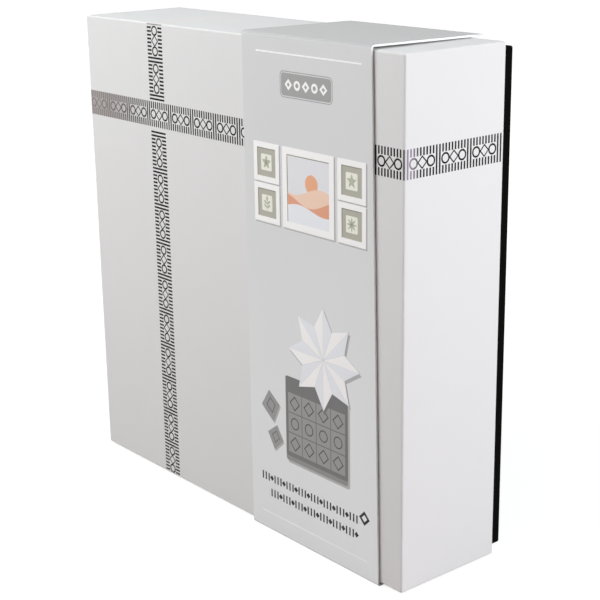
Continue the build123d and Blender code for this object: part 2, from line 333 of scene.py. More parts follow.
def black_base_paper():
    """Black paper outside and over the rim, with a satin back, and a charcoal lining inside. The back is
    painted a lighter black than the sides: painted light, as that face lies in shade.
    """
    finish = Finish("black_base_paper", {"Specular IOR Level": 0.01, "Coat Roughness": 0.42})
    in_depth = finish.y.within(base_low.y + turn_in, base_high.y - board / 2)
    inside = finish.between_walls(base_low, base_high, board / 2) * in_depth
    by_back = finish.y > base_high.y - 2 * highlit_worn_edge
    # painted highlight and wear: the outer edges of the back are a paler black
    edges = (1 - finish.between_walls(base_low, base_high, highlit_worn_edge)) * by_back * (1 - inside)
    # painted light: the back face, which lies in shade, gets a lighter black than the sides
    on_back = finish.y > base_high.y - 0.02 * mm
    black = finish.mix(on_back, tone(11, 10, 9), tone(19, 18, 18))
    outer = finish.mix(edges, black, tone(30, 29, 28))
    paper(finish, finish.mix(inside, outer, tone(62, 62, 63)), mottle=0.2)
    finish.coat(on_back * (0.16 + finish.noise(0.5 * mm, detail=4.0) * 0.2))
    return finish.material


def grey_wrap_card():
    """Coated card, printed grey outside, with a pale core at its edges and a bare white inside. The grey
    holds painted light: the front is lighter towards the foot and to the right, where less lamp light falls,
    and the top is darker, as painted shade.
    """
    finish = Finish("grey_wrap_card", {"Specular IOR Level": 0.2})
    normal = finish.node("ShaderNodeNewGeometry").outputs["True Normal"]
    facing_x, facing_y, facing_z = finish.split(normal)
    tilt = 0.3  # a face counts as top, foot or front from this much of its normal
    middle_z = (wrap_low.z + wrap_high.z) / 2
    on_top = (facing_z > tilt) * (finish.z > middle_z)
    on_foot = (facing_z < -tilt) * (finish.z < middle_z)
    on_front = (facing_y < -tilt) * (finish.y < wrap_low.y + 2 * mm)
    printed = (on_top + on_foot + on_front).smallest(1.0)
    # painted light: the front's grey gets lighter towards the foot and, on the next line, towards the right
    front = finish.mix(finish.z.rise(wrap_low.z, wrap_high.z), tone(237, 240, 241), tone(217, 218, 219))
    front = finish.shade(front, 1 + finish.x.rise(wrap_low.x, wrap_high.x) * 0.05)
    # painted shade: the top is a darker grey than the front
    grey = finish.mix(on_top, front, tone(194, 194, 194))
    bare = finish.mix(abs(facing_x) > 0.5, tone(238, 237, 233), tone(240, 240, 238))
    grain = finish.noise(0.25 * mm, detail=3.0)
    finish.colour(finish.shade(finish.mix(printed, bare, grey), 1 + grain * 0.02))
    finish.roughness(0.58 + grain * 0.1)
    finish.relief(grain + finish.noise(9 * mm, detail=1.0) * 4, 0.01 * mm)
    return finish.material


def grey_box_paper():
    finish = Finish("grey_box_paper", {"Specular IOR Level": 0.25})
    paper(finish, tone(150, 150, 151), mottle=0.06)
    return finish.material


def white_moulding_paint():
    """Brushed white paint, with the grain of each rail running along it and a hairline at the mitres."""
    finish = Finish("white_moulding_paint", {"IOR": 1.5, "Coat Roughness": 0.2})
    middle = (panel_low + panel_high) / 2
    from_side = (panel_high.x - middle.x) - abs(finish.x - middle.x)
    from_end = (panel_high.z - middle.z) - abs(finish.z - middle.z)
    on_stile = from_side < from_end
    along_z = finish.noise(0.8 * mm, detail=3.0, stretch=(1, 1, 30))
    along_x = finish.noise(0.8 * mm, detail=3.0, stretch=(30, 1, 1))
    grain = along_z * on_stile + along_x * (1 - on_stile)
    hairline = 1 - abs(from_side - from_end).rise(0.1 * mm, 0.45 * mm)
    finish.colour(finish.shade(tone(246, 246, 243), 1 + grain * 0.03 - hairline * 0.25))
    finish.roughness(0.34 + grain * 0.2)
    finish.relief(grain + finish.noise(0.3 * mm) * 0.4, 0.03 * mm)
    return finish.material


def clear_pane():
    """A thin clear pane: see-through square on, and a mirror at a glance."""
    finish = Finish("clear_pane", {"Base Color": tone(250, 252, 252), "Roughness": 0.03})
    smudges = finish.noise(14 * mm, detail=3.0)
    finish.roughness(0.03 + smudges.largest(0.0) * 0.08)
    from_behind = Signal(finish, finish.node("ShaderNodeNewGeometry").outputs["Backfacing"])
    fresnel = Signal(finish, finish.node("ShaderNodeFresnel", {}, {"IOR": 1.5}).outputs[0])
    glance = fresnel * (1 - from_behind)
    clear = finish.node("ShaderNodeBsdfTransparent", {}, {"Color": tone(250, 253, 252)}).outputs[0]
    finish.blend_shaders(glance, clear, finish.shader.outputs[0])
    return finish.material


def photo_paper():
    """A plain landscape print with a white border: a pale sky, a low sun and three rows of hills."""
    finish = Finish("photo_paper", {"Coat Weight": 0.4, "Coat Roughness": 0.12})
    across = finish.x - (photo_low.x + photo_high.x) / 2
    up = finish.z - (photo_low.z + photo_high.z) / 2
    speckle = finish.noise(1.2 * mm, detail=4.0)
    clouds = finish.noise(26 * mm, detail=4.0, stretch=(2, 1, 0.7))
    height = (up + clouds * 30 * mm).rise(-10 * mm, 60 * mm)
    picture = finish.mix(height, tone(250, 238, 226), tone(228, 232, 239))

    sun_across, sun_up, sun_radius = 14 * mm, 16 * mm, 10 * mm
    aside, above = across - sun_across, up - sun_up
    from_sun = (aside * aside + above * above).root()
    picture = finish.mix(1 - from_sun.rise(sun_radius, sun_radius * 3), picture, tone(252, 214, 176))
    picture = finish.mix(1 - from_sun.rise(sun_radius * 0.96, sun_radius), picture, tone(250, 190, 140))

    hills = (  # height, swell, turn and colour
        (-4 * mm, 6 * mm, 0.6, tone(242, 208, 186)),
        (-20 * mm, 7 * mm, 2.2, tone(228, 164, 136)),
        (-40 * mm, 5 * mm, 4.0, tone(226, 230, 238)),
    )
    hill_width, soft_edge = 13 * mm, 0.3 * mm
    for height, swell, turn, colour in hills:
        crest = height + (across / hill_width + turn).sine() * swell + speckle * 2 * mm
        under = 1 - (up - crest).rise(-soft_edge, soft_edge)
        picture = finish.mix(under, picture, finish.shade(colour, 1 + speckle * 0.5))

    half_width, half_height = 39 * mm, 65 * mm  # of the picture within its border
    on_front = finish.y < photo_low.y + 0.1 * mm
    printed = on_front * across.within(-half_width, half_width) * up.within(-half_height, half_height)
    finish.colour(finish.mix(printed, tone(240, 239, 235), picture))
    finish.roughness(0.3 + finish.noise(0.4 * mm) * 0.1)
    return finish.material


def taupe_mat_board():
    finish = Finish("taupe_mat_board")
    fibres = finish.noise(0.9 * mm, detail=5.0)
    finish.colour(finish.shade(tone(186, 181, 167), 1 + fibres * 0.16 + finish.noise(14 * mm) * 0.05))
    finish.roughness(0.82 + fibres * 0.1)
    finish.relief(fibres, 0.12 * mm)
    return finish.material


def hardboard():
    """Pressed brown fibreboard."""
    finish = Finish("hardboard")
    fibres = finish.noise(2.2 * mm, detail=6.0, stretch=(3, 1, 1))
    flecks = finish.noise(0.7 * mm, detail=3.0)
    brown = finish.mix((fibres + 0.5).rise(0.25, 0.75), tone(112, 80, 55), tone(156, 120, 86))
    finish.colour(finish.shade(brown, 1 + flecks * 0.35))
    finish.roughness(0.68 + flecks * 0.2)
    finish.relief(fibres + flecks * 0.5, 0.08 * mm)
    return finish.material


def cast_clay():
    """Dried modelling clay: cream, chalky, with fine pits."""
    depths = (0.8 * mm, 0.6 * mm, 0.4 * mm)  # how far red, green and blue go in
    finish = Finish("cast_clay", {"Subsurface Weight": 0.08, "Subsurface Radius": depths})
    grain = finish.noise(0.5 * mm, detail=4.0)
    clouds = finish.noise(9 * mm, detail=3.0)
    pits = (finish.noise(1.1 * mm) * -1).rise(0.16, 0.26)
    # the pits are painted darker as well: painted shade in them
    finish.colour(finish.shade(tone(243, 240, 226), 1 + clouds * 0.06 - pits * 0.12))
    finish.roughness(0.78 + grain * 0.15)
    finish.relief(grain * 0.6 + clouds - pits * 0.5, 0.1 * mm)
    return finish.material


def bronze():
    """Lacquered bronze, darker in its clouds, brushed lengthwise."""
    finish = Finish("bronze_hinge", {"Metallic": 1.0, "Coat Weight": 0.25, "Coat Roughness": 0.15})
    brushed = finish.noise(0.25 * mm, detail=3.0, stretch=(1, 1, 25))
    clouds = finish.noise(5 * mm, detail=3.0)
    lightness = (clouds + 0.5 + brushed * 0.4).rise(0.0, 1.0)
    finish.colour(finish.mix(lightness, tone(108, 92, 78), tone(146, 128, 112)))
    finish.roughness(0.38 + brushed * 0.15)
    finish.relief(brushed, 0.015 * mm)
    return finish.material


def steel():
    finish = Finish("steel_tab", {"Metallic": 1.0})
    brushed = finish.noise(0.2 * mm, detail=3.0, stretch=(30, 1, 1))
    finish.colour(finish.shade(tone(200, 200, 202), 1 + brushed * 0.25))
    finish.roughness(0.32 + brushed * 0.3)
    finish.relief(brushed, 0.01 * mm)
    return finish.material


def band_ink():
    """Ink of the bands, black, with painted reflections of their foil: grey at the left, paler just past the
    right corner and on top.
    """
    finish = Finish("band_ink", {"Specular IOR Level": 0.15})
    # painted reflection: the foil seen grey at the left end and black further right
    ink = finish.mix(finish.x.rise(lid_low.x, lid_low.x + band_fade), tone(140, 134, 133), tone(14, 12, 13))
    # painted reflection of the foil just past the right corner and, below, on the top
    near_corner = 1 - (finish.y - lid_low.y).rise(4 * mm, 13 * mm)
    on_end = finish.x > lid_high.x - 0.1 * mm
    ink = finish.mix(on_end * near_corner, ink, tone(150, 136, 156))
    on_top = finish.z.rise(lid_high.z - board_edge_radius, lid_high.z - 0.1 * mm)
    ink = finish.mix(on_top * 0.93, ink, tone(238, 229, 229))
    grain = finish.noise(0.3 * mm, detail=3.0)
    finish.colour(finish.shade(ink, 1 + grain * 0.2))
    finish.roughness(0.5 + grain * 0.2)
    return finish.material


def print_ink(name, colour):
    """Offset ink on the coated card."""
    finish = Finish(name, {"Specular IOR Level": 0.25})
    grain = finish.noise(0.25 * mm, detail=3.0)
    finish.colour(finish.shade(colour, 1 + grain * 0.04))
    finish.roughness(0.52 + grain * 0.1)
    return finish.material


class Repeat(Tree):
    """A Geometry Nodes tree that repeats small shapes, with named sizes."""

    def __init__(self, name, lengths, counts):
        super().__init__(bpy.data.node_groups.new(name, "GeometryNodeTree"))
        for size in lengths:
            self.tree.interface.new_socket(size, in_out="INPUT", socket_type="NodeSocketFloat")
        for size in counts:
            self.tree.interface.new_socket(size, in_out="INPUT", socket_type="NodeSocketInt")
        self.tree.interface.new_socket("Geometry", in_out="OUTPUT", socket_type="NodeSocketGeometry")
        self.inputs = self.node("NodeGroupInput")
        self.index = Signal(self, self.node("GeometryNodeInputIndex").outputs[0])
        self.x = self.split(self.node("GeometryNodeInputPosition").outputs[0])[0]

    def size(self, name):
        return Signal(self, self.inputs.outputs[name])

    def vector(self, x=0.0, y=0.0, z=0.0):
        return self.node("ShaderNodeCombineXYZ", {}, {0: x, 1: y, 2: z}).outputs[0]

    def row(self, count, start, pitch):
        """Points in a row along X."""
        inputs = {"Count": count, "Start Location": self.vector(start), "Offset": self.vector(pitch)}
        return self.node("GeometryNodeMeshLine", {"mode": "OFFSET"}, inputs).outputs[0]

    def moved(self, geometry, offset):
        return self.node("GeometryNodeSetPosition", {}, {"Geometry": geometry, "Offset": offset}).outputs[0]

    def slab(self, width, height, thickness, steps=2):
        """A thin block, cut across its width into steps so that it can follow a rounded corner."""
        inputs = {"Size": self.vector(width, height, thickness), "Vertices X": steps}
        return self.node("GeometryNodeMeshCube", {}, inputs).outputs[0]

    def tile(self, sides, radius, thickness):
        """A flat regular shape."""
        inputs = {"Vertices": sides, "Radius": radius, "Depth": thickness}
        return self.node("GeometryNodeMeshCylinder", {}, inputs).outputs[0]

    def outline(self, sides, radius, line, thickness):
        """A closed outline with so many sides, drawn with a flat line."""
        path = self.node("GeometryNodeCurvePrimitiveCircle", {}, {"Resolution": sides, "Radius": radius})
        level = self.node("GeometryNodeSetCurveNormal", {"mode": "Z_UP"}, {"Curve": path.outputs[0]})
        size = {"Width": line, "Height": thickness}
        section = self.node("GeometryNodeCurvePrimitiveQuadrilateral", {}, size)
        inputs = {"Curve": level.outputs[0], "Profile Curve": section.outputs[0]}
        return self.node("GeometryNodeCurveToMesh", {}, inputs).outputs[0]

    def copies(self, points, shape, chosen=1.0):
        inputs = {"Points": points, "Instance": shape, "Selection": chosen}
        return self.node("GeometryNodeInstanceOnPoints", {}, inputs).outputs[0]

    def close(self, shapes, material):
        """Joins the shapes, makes them real and gives them their material."""
        joined = self.node("GeometryNodeJoinGeometry")
        for shape in shapes:
            self.tree.links.new(shape, joined.inputs[0])
        real = self.node("GeometryNodeRealizeInstances", {}, {0: joined.outputs[0]})
        inputs = {"Geometry": real.outputs[0], "Material": material}
        painted = self.node("GeometryNodeSetMaterial", {}, inputs)
        self.node("NodeGroupOutput", {}, {0: painted.outputs[0]})

    def mesh(self, sizes):
        """The plain mesh that the tree makes with these sizes."""
        carrier = bpy.data.objects.new("carrier", bpy.data.meshes.new("carrier"))
        bpy.context.scene.collection.objects.link(carrier)
        modifier = carrier.modifiers.new("repeat", "NODES")
        modifier.node_group = self.tree
        for item in self.tree.interface.items_tree:
            if item.in_out == "INPUT":
                modifier[item.identifier] = sizes[item.name]
        graph = bpy.context.evaluated_depsgraph_get()
        made = bpy.data.meshes.new_from_object(carrier.evaluated_get(graph))
        bpy.data.objects.remove(carrier)
        return made


def corners(mesh):
    found = np.zeros(len(mesh.vertices) * 3)
    mesh.vertices.foreach_get("co", found)
    return found.reshape(-1, 3)


def place_corners(mesh, places):
    mesh.vertices.foreach_set("co", np.ascontiguousarray(places).ravel())
    mesh.update()


def piece(name, mesh, material, body):
    made = bpy.data.objects.new(name, mesh)
    bpy.context.scene.collection.objects.link(made)
    mesh.materials.clear()
    mesh.materials.append(material)
    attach(made, body)
    return made


def onto_face(mesh, origin, across, up, out):
    """Takes a mesh drawn in X and Y, with Z off the page, to a face."""
    flat = corners(mesh)
    axes = np.array([across, up, out])
    place_corners(mesh, np.array(origin) + flat @ axes)
    return mesh


def onto_front(mesh, origin):
    """Takes a mesh drawn in X and Y to a face that looks to the front."""
    return onto_face(mesh, origin, across=(1, 0, 0), up=(0, 0, 1), out=(0, -1, 0))


def around_lid(mesh, start, front, inwards, width, depth):
    """Folds a long flat strip round the lid: over one wall, the face and the opposite wall.

    X runs along the strip and starts at the first wall's rim, at the corner named start. The face runs
    along the direction front, its walls along inwards, and Y on the strip runs across both."""
    r = board_edge_radius
    quarter = r * math.pi / 2
    flat = corners(mesh)
    along = flat[:, 0]
    first = depth - r
    second = first + quarter + width - 2 * r
    turn_one = np.clip((along - first) / r, 0, math.pi / 2)
    turn_two = np.clip((along - second) / r, 0, math.pi / 2)
    on_first = np.minimum(along, first)
    on_middle = np.clip(along - first - quarter, 0, width - 2 * r)
    on_last = np.maximum(along - second - quarter, 0)
    radius = r + flat[:, 2]
    turn = turn_one + turn_two
    p = r + on_middle - radius * np.cos(turn)
    q = r - radius * np.sin(turn) + (first - on_first) + on_last
    front, inwards = np.array(front), np.array(inwards)
    across = np.cross(inwards * -1, front)
    places = np.array(start) + np.outer(p, front) + np.outer(q, inwards) + np.outer(flat[:, 1], across)
    place_corners(mesh, places)
    return mesh


def band_tree(material):
    """Bars in groups of ten: two run right across the band, eight are split round a row of motifs."""
    lengths = ("Length", "Pitch", "Bar Width", "Band Width", "Middle Width", "Thickness")
    motif_lengths = ("Motif Radius", "Motif Line", "Gap Start", "Gap End")
    tree = Repeat("band_of_bars", lengths + motif_lengths, ("Period", "Full Bars"))
    pitch, period, thickness = tree.size("Pitch"), tree.size("Period"), tree.size("Thickness")
    band, middle, bar = tree.size("Band Width"), tree.size("Middle Width"), tree.size("Bar Width")
    gap_start, gap_end, reach = tree.size("Gap Start"), tree.size("Gap End"), tree.size("Motif Radius")
    clear = 1 - tree.x.within(gap_start, gap_end)
    motif_clear = 1 - tree.x.within(gap_start - reach, gap_end + reach)
    full = (tree.index % period) < tree.size("Full Bars")
    bars = tree.row((tree.size("Length") / pitch).floor(), pitch * 0.5, pitch)
    shapes = [tree.copies(bars, tree.slab(bar, band, thickness, 4), full * clear)]
    short = tree.slab(bar, (band - middle) * 0.5, thickness, 4)
    for side in (-0.25, 0.25):
        row = tree.moved(bars, tree.vector(0.0, (band + middle) * side))
        shapes.append(tree.copies(row, short, (1 - full) * clear))
    ring = tree.outline(20, reach, tree.size("Motif Line"), thickness)
    diamond = tree.outline(4, reach * 1.2, tree.size("Motif Line"), thickness)
    groups = (tree.size("Length") / (pitch * period)).floor()
    for place, shape in zip(motif_places, (ring, diamond, ring)):
        row = tree.row(groups, pitch * (place + 0.5), pitch * period)
        shapes.append(tree.copies(row, shape, motif_clear))
    tree.close(shapes, material)
    return tree


def lid_bands(material):
    """The level band goes over the upright one, so the upright one has a gap where they cross."""
    tree = band_tree(material)
    side = lid_high.x - lid_low.x
    depth = lid_high.y - lid_low.y
    sizes = {
        "Length": side + 2 * depth - (4 - math.pi) * board_edge_radius,
        "Pitch": bar_pitch,
        "Bar Width": bar_width,
        "Band Width": band_width,
        "Middle Width": band_middle,
        "Thickness": print_height,
        "Motif Radius": motif_radius,
        "Motif Line": motif_line,
        "Gap Start": 0.0,
        "Gap End": 0.0,
        "Period": bars_in_period,
        "Full Bars": full_bars_in_period,
    }
    start = (lid_low.x, lid_low.y, level_band_z)
    level = around_lid(tree.mesh(sizes), start, (1, 0, 0), (0, 1, 0), side, depth)
    piece("level_band", level, material, "lid")
    crossing = depth - (2 - math.pi / 2) * board_edge_radius + level_band_from_foot
    sizes["Gap Start"] = crossing - band_width / 2 - bar_width
    sizes["Gap End"] = crossing + band_width / 2 + bar_width / 2
    start = (upright_band_x, lid_low.y, lid_low.z)
    upright = around_lid(tree.mesh(sizes), start, (0, 0, 1), (0, 1, 0), side, depth)
    piece("upright_band", upright, material, "lid")


def inset(box, margin):
    """A box made smaller by a margin all round, or larger where the margin is below zero."""
    left, foot, right, top = box
    return left + margin, foot + margin, right - margin, top - margin


def stretched(box, moves):
    """A box with its four sides moved, such as the shadow that it throws."""
    return tuple(side + move for side, move in zip(box, moves))


def around(u, v, reach):
    """A square box round a point."""
    return u - reach, v - reach, u + reach, v + reach


def middle_of(box):
    return (box[0] + box[2]) / 2, (box[1] + box[3]) / 2


def box_loop(box):
    left, foot, right, top = box
    return [(left, foot), (right, foot), (right, top), (left, top)]


def rounded_box(box, radius, steps=5):
    """A rounded box, as points in order."""
    left, foot, right, top = inset(box, radius)
    loop = []
    for quarter, (u, v) in enumerate(((right, top), (left, top), (left, foot), (right, foot))):
        for step in range(steps + 1):
            angle = (quarter + step / steps) * math.pi / 2
            loop.append((u + radius * math.cos(angle), v + radius * math.sin(angle)))
    return loop


def ring_loop(u, v, radius, count=40, inner=None, start=90.0):
    """A regular outline; with an inner radius, a star."""
    loop = []
    total = count if inner is None else 2 * count
    for index in range(total):
        reach = radius if inner is None or index % 2 == 0 else inner
        angle = math.radians(start) + index * 2 * math.pi / total
        loop.append((u + reach * math.cos(angle), v + reach * math.sin(angle)))
    return loop


def moved(loop, du, dv):
    return [(u + du, v + dv) for u, v in loop]


def turned(loop, u, v, degrees):
    """A loop turned about a point."""
    turn = math.radians(degrees)
    c, s = math.cos(turn), math.sin(turn)
    return [(u + (a - u) * c - (b - v) * s, v + (a - u) * s + (b - v) * c) for a, b in loop]


def towards(loop, u, v, share):
    """A loop drawn in towards a point, to this share of its size."""
    return [(u + (a - u) * share, v + (b - v) * share) for a, b in loop]


def leaf_loop(u, v, length, width, degrees, steps=8):
    """A pointed leaf from its foot at u, v."""
    loop = []
    for index in range(2 * steps):
        share = index / steps if index <= steps else 2 - index / steps
        side = 1 if index <= steps else -1
        loop.append((u + share * length, v + side * width / 2 * math.sin(math.pi * share ** 0.8)))
    return turned(loop, u, v, degrees)


def stroke_loop(points, width):
    """A line of even width along a few points."""
    left, right = [], []
    for index, (u, v) in enumerate(points):
        before, after = points[max(index - 1, 0)], points[min(index + 1, len(points) - 1)]
        du, dv = after[0] - before[0], after[1] - before[1]
        reach = math.hypot(du, dv)
        nu, nv = -dv / reach * width / 2, du / reach * width / 2
        left.append((u + nu, v + nv))
        right.append((u - nu, v - nv))
    return left + right[::-1]


def flat_mesh(name, loops, layer):
    """Outlines in millimetres, filled and as thick as a layer of ink. A loop within a loop is a hole."""
    curve = bpy.data.curves.new(name, "CURVE")
    curve.dimensions = "2D"
    curve.fill_mode = "BOTH"
    curve.extrude = print_height / 2
    for loop in loops:
        spline = curve.splines.new("POLY")
        spline.points.add(len(loop) - 1)
        for point, (u, v) in zip(spline.points, loop):
            point.co = (u * mm, v * mm, 0, 1)
        spline.use_cyclic_u = True
    drawing = bpy.data.objects.new(name, curve)
    mesh = bpy.data.meshes.new_from_object(drawing)
    bpy.data.objects.remove(drawing)
    places = corners(mesh)
    places[:, 2] += print_height / 2 + layer * layer_step
    place_corners(mesh, places)
    return mesh


def wrap_piece(name, mesh, material, u=0.0, v=0.0, height=0.0):
    """A flat mesh on the wrap's front, this many millimetres from its left edge and from the lid's foot.

    Height is how far the mesh's own level zero lies off the card, in metres."""
    onto_front(mesh, (wrap_low.x + u * mm, wrap_low.y - height, lid_low.z + v * mm))
    piece(name, mesh, material, "wrap")


def wrap_print(name, loops, material, layer=0):
    """A print on the wrap's front. Layer 0 lies on the card, and each further one over those below it."""
    wrap_piece(name, flat_mesh(name, loops, layer), material)


def wrap_rules_and_plate(inks):
    """Two white rules near the wrap's ends, and a plate with a thin outline and a row of plain motifs."""
    wrap_print("wrap_rules", [box_loop(upper_rule_box), box_loop(lower_rule_box)], inks["white"])
    outline = [rounded_box(inset(plate_box, side), plate_radius - side) for side in (0.0, plate_line)]
    wrap_print("plate_outline", outline, inks["mid grey"])
    wrap_print("plate", [rounded_box(inset(plate_box, plate_gap), radius=2.0)], inks["plate grey"])
    middle_u, v = middle_of(plate_box)
    ring, hole = plate_motif_radius * 0.85, plate_motif_radius * 0.4
    motifs = []
    for place in (-2, -1, 0, 1, 2):
        u = middle_u + place * plate_motif_pitch
        outer, sides = (ring, 40) if place % 2 else (plate_motif_radius, 4)
        motifs += [ring_loop(u, v, outer, sides), ring_loop(u, v, hole, sides)]
    wrap_print("plate_motifs", motifs, inks["white"], layer=2)


def inner_shadow(box, depth):
    """The shadow that a frame's left and upper edges throw on what lies in it."""
    left, foot, right, top = box
    outer = [(left, foot), (left, top), (right, top)]
    return outer + [(right - depth, top - depth), (left + depth, top - depth), (left + depth, foot)]


def sprig(u, v):
    """A stalk with a leaf at its tip and two at each side."""
    upright, spread = 90, 52  # degrees
    stalk = stroke_loop([(u, v - 4.4), (u + 0.3, v), (u, v + 3.4)], width=0.45)
    leaves = [leaf_loop(u, v + 1.2, length=3.4, width=1.5, degrees=upright)]
    for side in (-1, 1):
        for up in (-2.9, -0.6):
            root_u, turn = u + 0.25 * side, upright - side * spread
            leaves.append(leaf_loop(root_u, v + up, length=3.6, width=1.5, degrees=turn))
    return [stalk] + leaves


def flower(u, v):
    """Five petals."""
    return [leaf_loop(u, v, length=4.2, width=2.2, degrees=72 * petal + 90) for petal in range(5)]


def rays(u, v):
    """Eight narrow rays."""
    return [leaf_loop(u, v, length=4.4, width=1.2, degrees=45 * ray) for ray in range(8)]


def small_star(u, v):
    """A star with five points."""
    return [ring_loop(u, v, radius=4.3, count=5, inner=1.9)]


def gallery(inks):
    """Five framed pictures: a tall one between two pairs of small square ones with plain ornaments."""
    side = small_frame_side
    small = [(u, v, u + side, v + side) for u in small_frame_lefts for v in small_frame_feet]
    framed = [(tall_frame_box, tall_border)] + [(box, small_border) for box in small]
    shadows = [rounded_box(stretched(box, frame_shadow), radius=0.6) for box, _ in framed]
    wrap_print("gallery_shadows", shadows, inks["shadow grey"])
    tuck = 0.2  # of a mat under its border
    mats = [box_loop(inset(box, small_border - tuck)) for box in small]
    wrap_print("gallery_mats", mats, inks["taupe"], layer=1)
    borders = [box_loop(inset(box, margin)) for box, border in framed for margin in (0, border)]
    wrap_print("gallery_borders", borders, inks["white"], layer=5)
    inner_shadows = [inner_shadow(inset(box, border), depth=0.5) for box, border in framed]
    wrap_print("gallery_inner_shadows", inner_shadows, inks["deep taupe"], layer=4.5)

    middles = [middle_of(box) for box in small]
    cards = [rounded_box(around(u, v, reach=4.9), radius=0.8) for u, v in middles]
    wrap_print("gallery_cards", cards, inks["cream"], layer=2)
    ornaments = (("sprig", sprig), ("flower", flower), ("rays", rays), ("star", small_star))
    for (name, draw), (u, v) in zip(ornaments, middles):
        for number, loop in enumerate(draw(u, v)):
            wrap_print(f"ornament_{name}_{number + 1}", [loop], inks["sage"], layer=3)


def tall_picture(inks):
    """The picture in the tall frame: a sky, a low sun and three rows of hills."""
    view = inset(tall_frame_box, picture_margin)
    left, foot, right, _ = view
    wrap_print("picture_sky", [box_loop(view)], inks["sky"], layer=1)
    sun_u, sun_v, radius = printed_sun
    wrap_print("picture_sun", [ring_loop(left + sun_u, foot + sun_v, radius)], inks["peach"], layer=2)
    hills = (  # name, height, swell, phase, ink, layer
        ("far", 20.0, 3.0, 0.5, "blush", 2.5),
        ("middle", 14.0, 3.2, 2.4, "rose", 3.0),
        ("near", 9.5, 2.2, 4.2, "pale blue", 3.5),
    )
    steps, span = 20, 5.0  # span is how far the waves run across the picture, in radians
    for name, height, swell, phase, ink, layer in hills:
        crest = []
        for index in range(steps + 1):
            share = index / steps
            v = foot + height + swell * math.sin(phase + span * share)
            crest.append((right - (right - left) * share, v))
        loop = [(left, foot), (right, foot)] + crest
        wrap_print(f"picture_{name}_hills", [loop], inks[ink], layer=layer)


def folded_star(inks):
    """An eight-pointed star as if folded from white paper: each point has a bright and a dull half."""
    u, v = star_middle
    shape = {"radius": star_radius, "count": star_points, "inner": star_inner_radius}
    points = ring_loop(u, v, **shape)
    wrap_print("star_shadow", [moved(points, *star_shadow_fall)], inks["shadow grey"], layer=1)
    left, _, right, top = inset(panel_box, 0.4)
    low_shadow = moved(points, *star_shadow_fall_on_panel)
    on_panel = [(min(max(a, left), right), min(b, top)) for a, b in low_shadow]
    wrap_print("star_shadow_on_panel", [on_panel], inks["dark grey"], layer=7)
    wrap_print("star_base", [points], inks["light grey"], layer=8)
    facets = []
    for first, second in zip(points, points[1:] + points[:1]):
        middle = ((u + first[0] + second[0]) / 3, (v + first[1] + second[1]) / 3)
        facets.append(towards([(u, v), first, second], *middle, facet_share))
    wrap_print("star_bright_facets", facets[0::2], inks["white"], layer=9)
    wrap_print("star_dull_facets", facets[1::2], inks["pale blue"], layer=9)


def tile_tree(material):
    """Regular flat shapes on a grid. Parity 0 or 1 takes every other one, and 2 takes all."""
    tree = Repeat("tiles", ("Pitch", "Radius", "Turn", "Thickness"), ("Columns", "Rows", "Sides", "Parity"))
    pitch, columns, rows = tree.size("Pitch"), tree.size("Columns"), tree.size("Rows")
    spans = {"Size X": (columns - 1) * pitch, "Size Y": (rows - 1) * pitch}
    inputs = {**spans, "Vertices X": columns, "Vertices Y": rows}
    grid = tree.node("GeometryNodeMeshGrid", {}, inputs).outputs[0]
    tile = tree.tile(tree.size("Sides"), tree.size("Radius"), tree.size("Thickness"))
    turn = tree.vector(0.0, 0.0, tree.size("Turn"))
    turned_tile = tree.node("GeometryNodeTransform", {}, {"Geometry": tile, "Rotation": turn}).outputs[0]
    parity = tree.size("Parity")
    place = (tree.index / rows).floor() + tree.index
    chosen = ((abs(place % 2 - parity) < 0.5) + (parity > 1.5)).smallest(1.0)
    tree.close([tree.copies(grid, turned_tile, chosen)], material)
    return tree


def patchwork(inks):
    """A dark panel of square tiles, every other one with a diamond or a ring, under the star."""
    shadow = rounded_box(stretched(panel_box, panel_shadow), radius=2.0)
    wrap_print("panel_shadow", [shadow], inks["shadow grey"])
    wrap_print("panel_edge", [rounded_box(panel_box, panel_radius)], inks["panel edge"], layer=2)
    face_box = stretched(panel_box, (0, panel_edge, 0, 0))
    wrap_print("panel", [rounded_box(face_box, panel_radius)], inks["dark grey"], layer=3)
    grid_u = middle_of(face_box)[0]
    grid_v = face_box[1] + tile_foot_margin + tile_rows * tile_pitch / 2
    every, squares, rings = 2, 4, 28
    kinds = (  # name, ink, radius, sides, turn, parity, layer
        ("panel_tiles", "tile grey", 8.8, squares, 45.0, every, 4),
        ("panel_diamonds", "deep grey", 4.9, squares, 0.0, 0, 5),
        ("panel_diamond_hearts", "tile grey", 3.8, squares, 0.0, 0, 6),
        ("panel_rings", "deep grey", 3.9, rings, 0.0, 1, 5),
        ("panel_ring_hearts", "tile grey", 3.1, rings, 0.0, 1, 6),
    )
    for name, ink, radius, sides, turn, parity, layer in kinds:
        sizes = {
            "Pitch": tile_pitch * mm,
            "Radius": radius * mm,
            "Turn": math.radians(turn),
            "Thickness": print_height,
            "Columns": tile_columns,
            "Rows": tile_rows,
            "Sides": sides,
            "Parity": parity,
        }
        height = print_height / 2 + layer * layer_step
        wrap_piece(name, tile_tree(inks[ink]).mesh(sizes), inks[ink], grid_u, grid_v, height)


def loose_tiles(inks):
    """Two kite-shaped tiles beside the panel."""
    for number, (u, v, reach, turn) in enumerate(kites, 1):
        left, foot, right, top = (-reach, 0), (0, -reach * 1.15), (reach * 0.9, 0), (0, reach)
        upright = moved((left, foot, right, top), u, v)
        kite = turned(upright, u, v, turn)
        line = [turned(towards(upright, u, v, share), u, v, turn) for share in (0.5, 0.42)]
        wrap_print(f"kite_shadow_{number}", [moved(kite, 0.9, -1.1)], inks["shadow grey"])
        wrap_print(f"kite_{number}", [kite], inks["tile grey"], layer=1)
        wrap_print(f"kite_line_{number}", line, inks["deep grey"], layer=2)


